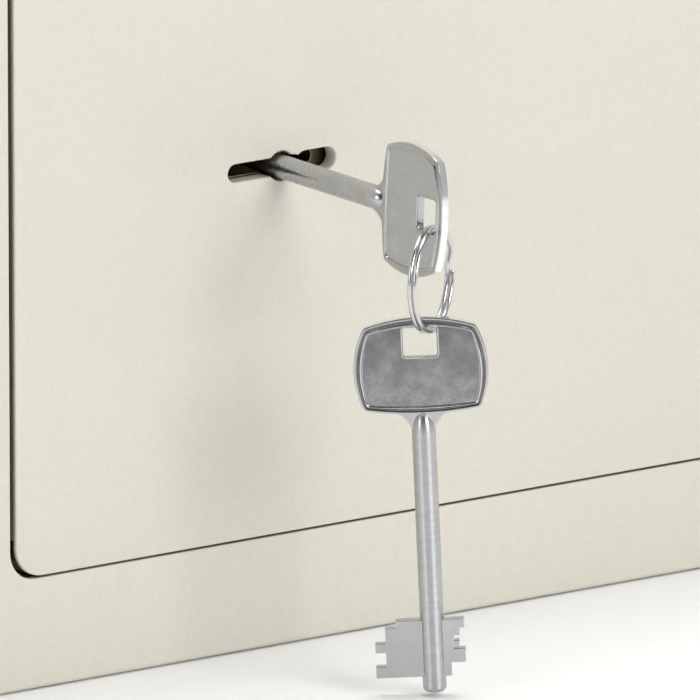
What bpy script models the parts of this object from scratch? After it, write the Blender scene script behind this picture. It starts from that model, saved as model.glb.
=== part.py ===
"""A small fire-resistant document box: double-walled steel casing, flush hinged door and a double-bit
lever lock with its key turned in it. A split ring joins that key to a spare.

Metres, +Z up, front towards -Y. The origin is the middle of the casing's underside."""

import math

import bmesh
import bpy
from mathutils import Matrix, Vector

MM = 0.001

# Casing
WIDTH = 400 * MM
DEPTH = 340 * MM
HEIGHT = 226 * MM
SHEET = 2 * MM
THIN_SHEET = 1.2 * MM
EDGE_ROUND = 2 * MM
FRONT_Y = -DEPTH / 2
GAP = 0.3 * MM

# Door opening and door
FRAME_STRIP = 26 * MM
SILL_STRIP = 25.5 * MM
SIDE_GAP = 3 * MM
END_GAP = 1 * MM
CORNER_ROUND = 7.5 * MM
OPENING_HALF_W = WIDTH / 2 - FRAME_STRIP
OPENING_HALF_H = HEIGHT / 2 - SILL_STRIP
DOOR_HALF_W = OPENING_HALF_W - SIDE_GAP
DOOR_HALF_H = OPENING_HALF_H - END_GAP
MIDDLE_Z = HEIGHT / 2
DOOR_PLATE = 4 * MM
PAN_DEPTH = 26.1 * MM
CORNER_NOTCH = 8.4 * MM
INNER_PAN_DEPTH = 26.6 * MM
PLUG_DEPTH = 48 * MM
PLUG_HALF_W = 150 * MM
PLUG_HALF_H = 67 * MM
STEP_DEPTH = 31.6 * MM
MOUTH_HALF_W = 156 * MM
MOUTH_HALF_H = 73 * MM
LINER_BACK = 300 * MM
HINGE_X = DOOR_HALF_W - 11 * MM
HINGE_DEPTH = 7.5 * MM
PIN_R = 2.5 * MM

# Lock: X and Z of its key axis, and depths behind the door's front
KEY_X = -DOOR_HALF_W + 74.7 * MM
KEY_Z = MIDDLE_Z
KEYHOLE_LEFT = 15.2 * MM
KEYHOLE_RIGHT = 15.6 * MM
COVER_DEPTH = 5 * MM
CASE_BACK_DEPTH = 22.8 * MM
CASE_SHEET = 1.5 * MM
CASE_LEFT = KEY_X - 53.7 * MM
CASE_RIGHT = KEY_X + 38.3 * MM
CASE_HALF_H = 32 * MM
EAR = 8 * MM
EAR_SCREW_RISE = 24 * MM
BOLT_R = 5.5 * MM
BOLT_DROP = 8.5 * MM
BOLT_DEPTH = 14.35 * MM
BOLT_END_INSET = 1.5 * MM
BOLT_INNER_X = KEY_X - 30.7 * MM
TALON_THICKNESS = 1.7 * MM
LEVER_THICKNESS = 0.9 * MM
LEVER_DEPTHS = [8.9 * MM + 1.4 * MM * i for i in range(3)] + [16 * MM + 1.4 * MM * i for i in range(4)]
LEVER_PIVOT_X = KEY_X + 30.3 * MM
LEVER_WINDOW_R = 14.2 * MM
LEVER_RIM = 3 * MM
STUMP_RISE = 5 * MM
STUMP_X = KEY_X - 31.7 * MM

# Key
KEY_LENGTH = 88.1 * MM
STEM_R = 2.75 * MM
BOW_LENGTH = 22.9 * MM
BOW_HALF_W = 15.4 * MM
BOW_CORNER_OUTER = (12.8 * MM, 2.2 * MM)
BOW_CORNER_INNER = (13.4 * MM, 21.5 * MM)
BOW_THICKNESS = 2.6 * MM
BOW_RIM = 1.8 * MM
PANEL_RECESS = 0.35 * MM
HOLE_WIDTH = 7.7 * MM
HOLE_HEIGHT = 6.75 * MM
HOLE_BORDER = 2.55 * MM
BIT_LENGTH = 13.3 * MM
BIT_THICKNESS = 2.8 * MM
TIP_BEYOND_BITS = 3.8 * MM
LONG_BIT_STEPS = [(0, 8.4), (1.7, 10.8), (5.3, 13.2), (7.4, 10.8), (10.7, 13.2)]
SHORT_BIT_STEPS = [(0, 7.3), (2.1, 6.2), (3.9, 4.9), (5.1, 6.1), (6.3, 4.9), (7.0, 7.4), (10.2, 4.1)]
KEY_STANDS_OUT = 62.3 * MM
KEY_LEAN = math.radians(1.6)
KEY_SAG = math.radians(0.95)
KEY_SAG_DEPTH = 8 * MM

# Split ring and the spare key on it
RING_R = 11.95 * MM
WIRE_R = 0.6 * MM
COIL_STEP = 1.24 * MM
RING_YAW = math.radians(32)
RING_HOLE_CLEARANCE = 0.22 * MM
RING_SIDE = 0.65 * MM
SPARE_CLEARANCE = 0.53 * MM
SPARE_YAW = math.radians(-37.2)
SPARE_TILT = math.radians(-2.33)
SPARE_SIDE = 1.85 * MM
SPARE_HANGS_BEFORE_LOW = math.radians(11.5)


def front(x, z, depth):
    """A point given by X, Z and its depth behind the front face."""
    return Vector((x, FRONT_Y + depth, z))


def flat(x, y, z):
    """A point of an outline drawn in plan."""
    return Vector((x, y, z))


def side(y, z, x):
    """A point of an outline drawn on a plane square to X."""
    return Vector((x, y, z))


def material(name, colour, roughness, metallic):
    made = bpy.data.materials.new(name)
    made.use_nodes = True
    shader = made.node_tree.nodes["Principled BSDF"]
    shader.inputs["Base Color"].default_value = (*colour, 1)
    shader.inputs["Roughness"].default_value = roughness
    shader.inputs["Metallic"].default_value = metallic
    return made


def mesh_object(name, bm, look):
    bmesh.ops.recalc_face_normals(bm, faces=bm.faces[:])
    mesh = bpy.data.meshes.new(name)
    bm.to_mesh(mesh)
    bm.free()
    mesh.shade_smooth()
    mesh.set_sharp_from_angle(angle=math.radians(35))
    obj = bpy.data.objects.new(name, mesh)
    bpy.context.scene.collection.objects.link(obj)
    if look:
        mesh.materials.append(look)
    return obj


def extruded(name, outline, near, far, look=None, holes=(), plane=front):
    """A flat plate: an outline, with any holes, drawn on a plane and given thickness."""
    bm = bmesh.new()
    edges = []
    for loop in [outline, *holes]:
        ring = [bm.verts.new(plane(u, v, near)) for u, v in loop]
        edges += [bm.edges.new(pair) for pair in zip(ring, ring[1:] + ring[:1])]
    bmesh.ops.triangle_fill(bm, edges=edges, use_beauty=True)
    grown = bmesh.ops.extrude_face_region(bm, geom=bm.faces[:])["geom"]
    new_verts = [part for part in grown if isinstance(part, bmesh.types.BMVert)]
    bmesh.ops.translate(bm, verts=new_verts, vec=plane(0, 0, far) - plane(0, 0, near))
    return mesh_object(name, bm, look)


def lofted(name, loops, look=None):
    """A solid skinned over loops of equal length, closed at both ends."""
    bm = bmesh.new()
    rings = [[bm.verts.new(point) for point in loop] for loop in loops]
    for first, second in zip(rings, rings[1:]):
        for i, vert in enumerate(first):
            bm.faces.new((first[i - 1], vert, second[i], second[i - 1]))
    bm.faces.new(rings[0])
    bm.faces.new(rings[-1])
    return mesh_object(name, bm, look)


def block(name, low, high, look=None, rounding=0):
    """A box between two corners, with its edges rounded if asked."""
    bm = bmesh.new()
    bmesh.ops.create_cube(bm, size=1)
    for vert in bm.verts:
        vert.co = [low[i] if vert.co[i] < 0 else high[i] for i in range(3)]
    obj = mesh_object(name, bm, look)
    if rounding:
        bevel = obj.modifiers.new("rounded_edges", "BEVEL")
        bevel.width = rounding
        bevel.segments = 3
    return obj


def turned(name, profile, base, axis, look=None, steps=16):
    """A lathe-turned piece: (radius, height) pairs along an axis that starts at base."""
    turn = Vector(axis).to_track_quat("Z", "Y").to_matrix().to_4x4()
    place = Matrix.Translation(base) @ turn
    loops = []
    for radius, height in profile:
        angles = [2 * math.pi * i / steps for i in range(steps)]
        loops.append([place @ Vector((radius * math.cos(a), radius * math.sin(a), height)) for a in angles])
    return lofted(name, loops, look)


def tool(obj):
    """Marks an object as a cutter or an added shape that isn't itself a piece."""
    obj.hide_render = True
    obj.display_type = "WIRE"
    return obj


def combine(obj, other, operation):
    boolean = obj.modifiers.new(other.name, "BOOLEAN")
    boolean.operation = operation
    boolean.object = tool(other)
    return obj


def cut(obj, *cutters):
    for cutter in cutters:
        combine(obj, cutter, "DIFFERENCE")
    return obj


def add(obj, *others):
    for other in others:
        combine(obj, other, "UNION")
    return obj


def rounded_rect(half_w, half_h, radius, centre=(0, MIDDLE_Z), steps=6):
    points = []
    for quarter in range(4):
        sx = 1 if quarter in (0, 3) else -1
        sz = 1 if quarter < 2 else -1
        for i in range(steps + 1):
            angle = math.pi / 2 * (quarter + i / steps)
            x = centre[0] + sx * (half_w - radius) + radius * math.cos(angle)
            z = centre[1] + sz * (half_h - radius) + radius * math.sin(angle)
            points.append((x, z))
    return points


def rect(half_w, half_h, centre=(0, MIDDLE_Z)):
    return [
        (centre[0] + sx * half_w, centre[1] + sz * half_h) for sx, sz in ((1, 1), (-1, 1), (-1, -1), (1, -1))
    ]


def circle(x, z, radius, steps=24):
    angles = [2 * math.pi * i / steps for i in range(steps)]
    return [(x + radius * math.cos(a), z + radius * math.sin(a)) for a in angles]


def stadium(x0, x1, z, height, steps=8):
    """A slot with half-round ends, from x0 to x1."""
    radius = height / 2
    points = []
    for i in range(steps + 1):
        angle = -math.pi / 2 + math.pi * i / steps
        points.append((x1 - radius + radius * math.cos(angle), z + radius * math.sin(angle)))
    for i in range(steps + 1):
        angle = math.pi / 2 + math.pi * i / steps
        points.append((x0 + radius + radius * math.cos(angle), z + radius * math.sin(angle)))
    return points


def arc_through(start, middle, end, steps):
    """Points on the circle through three points, from start up to but not including end."""
    ax, ay = start
    bx, by = middle
    cx, cy = end
    d = 2 * (ax * (by - cy) + bx * (cy - ay) + cx * (ay - by))
    a2, b2, c2 = ax * ax + ay * ay, bx * bx + by * by, cx * cx + cy * cy
    ux = (a2 * (by - cy) + b2 * (cy - ay) + c2 * (ay - by)) / d
    uy = (a2 * (cx - bx) + b2 * (ax - cx) + c2 * (bx - ax)) / d
    radius = math.hypot(ax - ux, ay - uy)
    a0 = math.atan2(ay - uy, ax - ux)
    a1 = math.atan2(cy - uy, cx - ux)
    sweep = (a1 - a0 + math.pi) % (2 * math.pi) - math.pi
    angles = [a0 + sweep * i / steps for i in range(steps)]
    return [(ux + radius * math.cos(a), uy + radius * math.sin(a)) for a in angles]


# The casing and what is fixed in it


def build_casing(paint, filler, steel, seal_look):
    half = WIDTH / 2
    casing = block("outer_casing", (-half, FRONT_Y, 0), (half, -FRONT_Y, HEIGHT), paint, EDGE_ROUND)
    inside = block(
        "casing_inside",
        (-half + SHEET, FRONT_Y + SHEET, SHEET),
        (half - SHEET, -FRONT_Y + SHEET, HEIGHT - SHEET),
    )
    opening_line = rounded_rect(OPENING_HALF_W, OPENING_HALF_H, CORNER_ROUND + END_GAP)
    opening = extruded("door_opening", opening_line, -SHEET, 2 * SHEET)
    cut(casing, inside, opening)

    inner_half = half - SHEET - GAP
    low, high = SHEET + GAP, HEIGHT - SHEET - GAP
    back = -FRONT_Y - SHEET - 0.5 * MM
    block("back_panel", (-inner_half, back, low), (inner_half, back + SHEET, high), paint)

    build_jamb(opening_line, paint, seal_look)
    build_filling(inner_half, low, high, back - GAP, filler)
    build_strike_plate(steel)
    for name, way in (("upper_hinge_bush", 1), ("lower_hinge_bush", -1)):
        start = MIDDLE_Z + way * (OPENING_HALF_H + 1.5 * MM + GAP)
        base = front(HINGE_X, start, HINGE_DEPTH)
        bush = turned(name, [(5 * MM, 0), (5 * MM, 8 * MM)], base, (0, 0, way), steel)
        lowered = base - Vector((0, 0, way * MM))
        cut(
            bush, turned(name + "_bore", [(PIN_R + 0.1 * MM, 0), (PIN_R + 0.1 * MM, 10 * MM)], lowered, (0, 0, way))
        )


def build_jamb(opening_line, paint, seal_look):
    """The door pocket: a wall round the opening and a step in to the liner's mouth."""
    wall = 1.5 * MM
    outer = rounded_rect(OPENING_HALF_W + wall, OPENING_HALF_H + wall, CORNER_ROUND + END_GAP + wall)
    jamb = extruded("door_jamb", outer, SHEET + GAP, STEP_DEPTH + THIN_SHEET, paint)
    pocket = extruded("jamb_pocket", opening_line, 0, STEP_DEPTH)
    mouth = extruded("jamb_mouth", rect(MOUTH_HALF_W, MOUTH_HALF_H), 0, STEP_DEPTH + 2 * THIN_SHEET)
    bolt_hole = turned(
        "jamb_bolt_hole",
        [(6.6 * MM, 0), (6.6 * MM, 8 * MM)],
        front(-OPENING_HALF_W - 4 * MM, KEY_Z - BOLT_DROP, BOLT_DEPTH),
        (1, 0, 0),
    )
    low_pin = front(HINGE_X, MIDDLE_Z - OPENING_HALF_H - 4 * MM, HINGE_DEPTH)
    high_pin = front(HINGE_X, MIDDLE_Z + OPENING_HALF_H - 4 * MM, HINGE_DEPTH)
    pin_holes = [
        turned(name, [(3.2 * MM, 0), (3.2 * MM, 8 * MM)], base, (0, 0, 1))
        for name, base in (("jamb_low_pin_hole", low_pin), ("jamb_high_pin_hole", high_pin))
    ]
    cut(jamb, pocket, mouth, bolt_hole, *pin_holes)
    strip = 7 * MM
    outer_w, outer_h = OPENING_HALF_W - 3 * MM, OPENING_HALF_H - 3 * MM
    outer = rounded_rect(outer_w, outer_h, CORNER_ROUND)
    inner = rounded_rect(outer_w - strip, outer_h - strip, 2 * MM)
    seal_back = STEP_DEPTH - GAP
    extruded("fire_seal", outer, seal_back - 1.5 * MM, seal_back, seal_look, [inner])

    outer_w, outer_h = MOUTH_HALF_W + THIN_SHEET, MOUTH_HALF_H + THIN_SHEET
    mouth_depth = STEP_DEPTH + THIN_SHEET + GAP
    liner = extruded("inner_liner", rect(outer_w, outer_h), mouth_depth, LINER_BACK, paint)
    hollow = extruded("liner_hollow", rect(MOUTH_HALF_W, MOUTH_HALF_H), 0, LINER_BACK - THIN_SHEET)
    cut(liner, hollow)


def build_filling(inner_half, low, high, back, filler):
    """Five blocks of fire-resistant filling; four of them reach forward round the door pocket."""
    wall = 1.5 * MM + GAP
    near = FRONT_Y + SHEET + GAP
    step = FRONT_Y + STEP_DEPTH + THIN_SHEET + GAP
    liner_half_w = MOUTH_HALF_W + THIN_SHEET + GAP
    liner_half_h = MOUTH_HALF_H + THIN_SHEET
    for name, way, outer, bush in (("filling_bottom", -1, low, "lower"), ("filling_top", 1, high, "upper")):
        pocket_z = MIDDLE_Z + way * (OPENING_HALF_H + wall)
        liner_z = MIDDLE_Z + way * (liner_half_h + GAP)
        section = [
            (near, outer), (back, outer), (back, liner_z), (step, liner_z), (step, pocket_z), (near, pocket_z)
        ]
        filling = extruded(name, section, -inner_half, inner_half, filler, plane=side)
        ends = sorted((pocket_z - way * MM, pocket_z + way * 9.5 * MM))
        room = block(
            f"{bush}_bush_room", (HINGE_X - 6 * MM, near - MM, ends[0]), (HINGE_X + 6 * MM, step, ends[1])
        )
        cut(filling, room)
    for name, way in (("filling_left", -1), ("filling_right", 1)):
        outer_x, liner_x = way * inner_half, way * liner_half_w
        pocket_x = way * (OPENING_HALF_W + wall)
        plan = [
            (outer_x, near), (outer_x, back), (liner_x, back), (liner_x, step), (pocket_x, step), (pocket_x, near)
        ]
        filling = extruded(name, plan, MIDDLE_Z - liner_half_h, MIDDLE_Z + liner_half_h, filler, plane=flat)
        if way < 0:
            keeper_z = KEY_Z - BOLT_DROP
            low_end, high_end = keeper_z - 23 * MM, keeper_z + 23 * MM
            room = block(
                "keeper_room", (pocket_x - 10 * MM, near - MM, low_end), (pocket_x + MM, step, high_end)
            )
            cut(filling, room)
    start = FRONT_Y + LINER_BACK + GAP
    half_w = liner_half_w - GAP
    block(
        "filling_back", (-half_w, start, MIDDLE_Z - liner_half_h), (half_w, back, MIDDLE_Z + liner_half_h), filler
    )


def build_strike_plate(steel):
    """The keeper behind the jamb's left wall, which the bolt enters."""
    face = -OPENING_HALF_W - 1.5 * MM - GAP
    bolt_z = KEY_Z - BOLT_DROP
    outline = rect(8.5 * MM, 22 * MM, (FRONT_Y + BOLT_DEPTH, bolt_z))
    hole = circle(FRONT_Y + BOLT_DEPTH, bolt_z, 6.6 * MM)
    extruded("strike_plate", outline, face - 3 * MM, face, steel, [hole], side)


# The door


def build_door(paint, filler, steel):
    loops = []
    for i in range(5):
        angle = math.pi / 2 * i / 4
        inset = EDGE_ROUND * (1 - math.sin(angle))
        line = rounded_rect(DOOR_HALF_W - inset, DOOR_HALF_H - inset, CORNER_ROUND - inset)
        loops.append([front(x, z, EDGE_ROUND * (1 - math.cos(angle))) for x, z in line])
    loops.append([front(x, z, DOOR_PLATE) for x, z in rounded_rect(DOOR_HALF_W, DOOR_HALF_H, CORNER_ROUND)])
    plate = lofted("door_plate", loops, paint)

    near, far = FRONT_Y + DOOR_PLATE - MM, FRONT_Y + PAN_DEPTH
    tall = DOOR_HALF_H - CORNER_NOTCH
    wide = DOOR_HALF_W - 4.5 * MM
    flanges = []
    for name, way in (("left", -1), ("right", 1)):
        ends = sorted((way * (DOOR_HALF_W - 0.02 * MM), way * (DOOR_HALF_W - SHEET)))
        flanges.append(
            block(f"{name}_flange", (ends[0], near, MIDDLE_Z - tall), (ends[1], far, MIDDLE_Z + tall))
        )
    for name, way in (("bottom", -1), ("top", 1)):
        ends = sorted((MIDDLE_Z + way * (DOOR_HALF_H - 0.02 * MM), MIDDLE_Z + way * (DOOR_HALF_H - SHEET)))
        flanges.append(block(f"{name}_flange", (-wide, near, ends[0]), (wide, far, ends[1])))
    add(plate, *flanges)

    bolt_hole = turned(
        "door_bolt_hole",
        [(6.25 * MM, 0), (6.25 * MM, 8 * MM)],
        front(-DOOR_HALF_W - 3 * MM, KEY_Z - BOLT_DROP, BOLT_DEPTH),
        (1, 0, 0),
        steps=24,
    )
    pin_holes = [
        turned(name, [(2.8 * MM, 0), (2.8 * MM, 6 * MM)], front(HINGE_X, z, HINGE_DEPTH), (0, 0, 1))
        for name, z in (
            ("door_low_pin_hole", MIDDLE_Z - DOOR_HALF_H - 2 * MM),
            ("door_high_pin_hole", MIDDLE_Z + DOOR_HALF_H - 4 * MM),
        )
    ]
    cut(plate, bolt_hole, *pin_holes, *keyhole_cutters())

    pieces = [plate]
    for name, way in (("upper_hinge_pin", 1), ("lower_hinge_pin", -1)):
        start = MIDDLE_Z + way * (DOOR_HALF_H - SHEET - 4 * MM)
        collar = 3.3 * MM
        profile = [
            (collar, 0), (collar, 3.7 * MM), (PIN_R, 3.71 * MM), (PIN_R, 14 * MM), (1.9 * MM, 14.6 * MM)
        ]
        pieces.append(turned(name, profile, front(HINGE_X, start, HINGE_DEPTH), (0, 0, way), steel))

    pieces.append(build_door_filling(filler))
    pieces += build_inner_pan(paint, filler, steel)
    return pieces


def keyhole_cutters():
    """The door's keyhole: a round middle, a slot for each bit and a wider mouth on the right."""
    far = DOOR_PLATE + MM
    left = stadium(KEY_X - KEYHOLE_LEFT, KEY_X + 6 * MM, KEY_Z, 4.3 * MM)
    right = stadium(KEY_X + 4.2 * MM, KEY_X + KEYHOLE_RIGHT, KEY_Z, 5.3 * MM)
    middle = circle(KEY_X, KEY_Z, 3.5 * MM)
    shapes = (("left_slot", left), ("middle", middle), ("right_slot", right))
    return [extruded(f"keyhole_{name}", line, -MM, far) for name, line in shapes]


def build_door_filling(filler):
    """A slab behind the door plate, open round the lock and along the bolt."""
    half_w = DOOR_HALF_W - SHEET - 1 * MM
    half_h = DOOR_HALF_H - SHEET - 5 * MM
    slab = extruded("door_filling", rect(half_w, half_h), DOOR_PLATE + GAP, PAN_DEPTH, filler)
    margin = 3 * MM
    room_half = (CASE_RIGHT - CASE_LEFT) / 2 + EAR + margin
    middle = ((CASE_RIGHT + CASE_LEFT) / 2, KEY_Z)
    room = extruded("lock_room", rect(room_half, CASE_HALF_H + margin, middle), 0, 2 * PAN_DEPTH)
    channel_half = (half_w + middle[0]) / 2
    centre = (middle[0] - channel_half - 2 * MM, KEY_Z - BOLT_DROP)
    channel = extruded("bolt_channel", rect(channel_half, 8 * MM, centre), 0, 2 * PAN_DEPTH)
    return cut(slab, room, channel)


def build_inner_pan(paint, filler, steel):
    """The door's back: a flange and a shallow box that plugs the liner's mouth."""
    flange = rect(DOOR_HALF_W - 5 * MM, DOOR_HALF_H - 4 * MM)
    pan = extruded("door_inner_pan", flange, INNER_PAN_DEPTH, INNER_PAN_DEPTH + THIN_SHEET, paint)
    plug = extruded("plug_box", rect(PLUG_HALF_W, PLUG_HALF_H), INNER_PAN_DEPTH + 0.2 * MM, PLUG_DEPTH)
    hollow_line = rect(PLUG_HALF_W - THIN_SHEET, PLUG_HALF_H - THIN_SHEET)
    hollow = extruded("plug_hollow", hollow_line, 0, PLUG_DEPTH - THIN_SHEET)
    add(pan, plug)
    spots = [(sx * 158 * MM, MIDDLE_Z + sz * 72 * MM) for sz in (-1, 1) for sx in (-1, 1)]
    far = 2 * PLUG_DEPTH
    holes = [
        extruded(f"pan_screw_hole_{i}", circle(x, z, 1.8 * MM, 12), 0, far) for i, (x, z) in enumerate(spots)
    ]
    cut(pan, hollow, *holes)
    inner = rect(PLUG_HALF_W - THIN_SHEET - GAP, PLUG_HALF_H - THIN_SHEET - GAP)
    near = INNER_PAN_DEPTH + THIN_SHEET
    filling = extruded("plug_filling", inner, near, PLUG_DEPTH - THIN_SHEET - GAP, filler)
    pieces = [pan, filling]
    for i, (x, z) in enumerate(spots):
        start = front(x, z, INNER_PAN_DEPTH + THIN_SHEET + GAP + MM)
        head = 3 * MM
        profile = [(2.4 * MM, 0), (head, 0.4 * MM), (head, MM), (1.5 * MM, 1.01 * MM), (1.5 * MM, 2.4 * MM)]
        pieces.append(turned(f"pan_screw_{i + 1}", profile, start, (0, -1, 0), steel, 10))
    return pieces


# The lock, which rides in the door


def build_lock(steel, brass):
    case_half_w = (CASE_RIGHT - CASE_LEFT) / 2
    middle = ((CASE_RIGHT + CASE_LEFT) / 2, KEY_Z)
    ear_spots = [
        (x, KEY_Z + way * EAR_SCREW_RISE)
        for x in (CASE_LEFT - EAR / 2, CASE_RIGHT + EAR / 2)
        for way in (-1, 1)
    ]
    screw_holes = [circle(x, z, 1.8 * MM, 12) for x, z in ear_spots]
    tip_hole = circle(KEY_X, KEY_Z, 3.2 * MM)
    back_line = rect(case_half_w + EAR, CASE_HALF_H, middle)
    case_far = CASE_BACK_DEPTH + CASE_SHEET
    case = extruded("lock_case", back_line, CASE_BACK_DEPTH, case_far, steel, [*screw_holes, tip_hole])
    walls = extruded("case_walls", rect(case_half_w, CASE_HALF_H, middle), 6.5 * MM, case_far - 0.2 * MM)
    room_line = rect(case_half_w - CASE_SHEET, CASE_HALF_H - CASE_SHEET, middle)
    room = extruded("case_room", room_line, 0, CASE_BACK_DEPTH)
    tip_way = extruded("case_tip_way", tip_hole, 0, 2 * case_far)
    bolt_way = turned(
        "case_bolt_way",
        [(6 * MM, 0), (6 * MM, 8 * MM)],
        front(CASE_LEFT - 3 * MM, KEY_Z - BOLT_DROP, BOLT_DEPTH),
        (1, 0, 0),
    )
    add(case, walls)
    cut(case, room, tip_way, bolt_way)

    cover_line = rect(case_half_w, CASE_HALF_H, middle)
    cover = extruded("lock_cover", cover_line, COVER_DEPTH, COVER_DEPTH + THIN_SHEET, steel)
    slot = extruded(
        "cover_slot", stadium(KEY_X - 15.5 * MM, KEY_X + 12 * MM, KEY_Z, 3.7 * MM), 0, 2 * COVER_DEPTH
    )
    eye = extruded("cover_eye", circle(KEY_X, KEY_Z, 3.2 * MM), 0, 2 * COVER_DEPTH)
    cut(cover, slot, eye)

    pieces = [case, cover]
    post_far = CASE_BACK_DEPTH - GAP
    post_near = COVER_DEPTH + THIN_SHEET + GAP
    posts = (
        ("lever_post", LEVER_PIVOT_X, KEY_Z, 2.5 * MM),
        ("guide_post_left", KEY_X - 22.7 * MM, KEY_Z - 20.5 * MM, 2 * MM),
        ("guide_post_right", KEY_X + 6.3 * MM, KEY_Z - 20.5 * MM, 2 * MM),
    )
    for name, x, z, radius in posts:
        pieces.append(extruded(name, circle(x, z, radius, 16), post_near, post_far, steel))
    pieces.append(build_spring(steel))
    for i, (x, z) in enumerate(ear_spots):
        start = front(x, z, case_far + GAP + 1.2 * MM)
        shank = case_far + GAP + 1.2 * MM - DOOR_PLATE - GAP
        profile = [(2.8 * MM, 0), (2.8 * MM, 1.2 * MM), (1.5 * MM, 1.21 * MM), (1.5 * MM, shank)]
        pieces.append(turned(f"lock_screw_{i + 1}", profile, start, (0, -1, 0), steel, 10))
    levers = build_levers(brass)
    return pieces, levers, build_bolt(steel)


def build_spring(steel):
    """A comb of leaf springs, one leaf over each lever, clamped under the case's top wall."""
    leaf_z = KEY_Z + LEVER_WINDOW_R + LEVER_RIM + 1.2 * MM
    right = CASE_RIGHT - CASE_SHEET - MM
    root = right - 12 * MM
    tip = KEY_X - 14 * MM
    near = FRONT_Y + LEVER_DEPTHS[0]
    far = FRONT_Y + LEVER_DEPTHS[-1] + LEVER_THICKNESS
    outline = [(right, near), (right, far)]
    for depth in reversed(LEVER_DEPTHS):
        y = FRONT_Y + depth
        outline += [(root, y + LEVER_THICKNESS), (tip, y + LEVER_THICKNESS), (tip, y), (root, y)]
    outline = outline[:2] + outline[3:-1]
    comb = extruded("lever_spring", outline, leaf_z, leaf_z + 0.4 * MM, steel, plane=flat)
    top = KEY_Z + CASE_HALF_H - CASE_SHEET - GAP
    return add(comb, block("spring_root", (root + MM, near, leaf_z + 0.1 * MM), (right, far, top)))


def build_levers(brass):
    """Seven alike plates on one post, each with a window for the key and a gate for the stump."""
    rim_r = LEVER_WINDOW_R + LEVER_RIM
    thick = LEVER_THICKNESS
    blank = extruded("lever_blank", circle(KEY_X, KEY_Z, rim_r, 32), 0, thick, brass)
    arm = rect(9 * MM, 4 * MM, (KEY_X + 22 * MM, KEY_Z))
    tail = rect(7.5 * MM, 6 * MM, (KEY_X - 21.2 * MM, KEY_Z + STUMP_RISE + 0.5 * MM))
    gate = rect(6.2 * MM, 2.8 * MM, (KEY_X - 23.2 * MM, KEY_Z + STUMP_RISE))
    add(
        blank,
        extruded("lever_arm", arm, 0, thick),
        extruded("lever_tail", tail, 0, thick),
        extruded("lever_eye", circle(LEVER_PIVOT_X, KEY_Z, 4.8 * MM, 20), 0, thick),
    )
    cut(
        blank,
        extruded("lever_window", circle(KEY_X, KEY_Z, LEVER_WINDOW_R, 32), -MM, 2 * MM),
        extruded("lever_hole", circle(LEVER_PIVOT_X, KEY_Z, 2.62 * MM, 16), -MM, 2 * MM),
        extruded("lever_gate", gate, -MM, 2 * MM),
    )
    mesh = finished_mesh(tool(blank), "lever")
    levers = []
    for i, depth in enumerate(LEVER_DEPTHS):
        lever = bpy.data.objects.new(f"lever_{i + 1}", mesh)
        bpy.context.scene.collection.objects.link(lever)
        lever.location = (0, depth, 0)
        levers.append(lever)
    return levers


def finished_mesh(obj, name):
    """The object's mesh with its modifiers worked in, for pieces that share it."""
    bpy.context.view_layer.update()
    graph = bpy.context.evaluated_depsgraph_get()
    mesh = bpy.data.meshes.new_from_object(obj.evaluated_get(graph))
    mesh.name = name
    return mesh


def build_bolt(steel):
    """The round bolt, the talon plate that the key drives, the stump and the cross pin."""
    bolt_z = KEY_Z - BOLT_DROP
    outer_x = -DOOR_HALF_W + BOLT_END_INSET
    length = BOLT_INNER_X - outer_x
    profile = [(BOLT_R - MM, 0), (BOLT_R, MM), (BOLT_R, length)]
    bolt = turned("locking_bolt", profile, front(outer_x, bolt_z, BOLT_DEPTH), (1, 0, 0), steel, 24)
    slot_half = TALON_THICKNESS / 2 + 0.15 * MM
    plate_left = BOLT_INNER_X - 8.5 * MM
    slot = block(
        "bolt_slot",
        (plate_left - GAP, FRONT_Y + BOLT_DEPTH - slot_half, bolt_z - 2 * BOLT_R),
        (BOLT_INNER_X + 2 * MM, FRONT_Y + BOLT_DEPTH + slot_half, bolt_z + 2 * BOLT_R),
    )
    pin_x = plate_left + 4.5 * MM
    pin_hole = extruded("bolt_pin_hole", circle(pin_x, bolt_z, 1.25 * MM, 12), 0, 40 * MM)
    cut(bolt, slot, pin_hole)

    top, bottom = KEY_Z - 13.8 * MM, KEY_Z - 27 * MM
    right = KEY_X + 23.3 * MM
    arm_right = KEY_X - 28.2 * MM
    arm_top = KEY_Z + STUMP_RISE + 4 * MM
    talon = [(KEY_X + dx * MM, top - drop * MM) for dx, drop in ((3, 0), (1.6, 2.4), (-1.6, 2.4), (-3, 0))]
    outline = [(plate_left, bottom), (right, bottom), (right, top)] + talon
    outline += [(arm_right, top), (arm_right, arm_top), (plate_left, arm_top)]
    guide_slot = stadium(KEY_X - 37.6 * MM, KEY_X + 20.5 * MM, KEY_Z - 20.5 * MM, 4.4 * MM, 6)
    holes = [
        guide_slot, circle(STUMP_X, KEY_Z + STUMP_RISE, 1.75 * MM, 12), circle(pin_x, bolt_z, 1.25 * MM, 12)
    ]
    near = BOLT_DEPTH - TALON_THICKNESS / 2
    plate = extruded("talon_plate", outline, near, near + TALON_THICKNESS, steel, holes)
    stump_near = LEVER_DEPTHS[0]
    stump_far = LEVER_DEPTHS[-1] + LEVER_THICKNESS
    stump_line = circle(STUMP_X, KEY_Z + STUMP_RISE, 1.5 * MM, 12)
    stump = extruded("gate_stump", stump_line, stump_near, stump_far, steel)
    pin = extruded(
        "bolt_pin", circle(pin_x, bolt_z, MM, 12), BOLT_DEPTH - 4.5 * MM, BOLT_DEPTH + 4.5 * MM, steel
    )
    return [bolt, plate, stump, pin]


# The keys: local Z runs from tip to bow with its zero at the bow's end, and the long bit points to -X


def key_plane(x, t, y):
    """A point of a key outline: across, distance from the bow's end, and thickness."""
    return Vector((x, y, -t))


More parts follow.
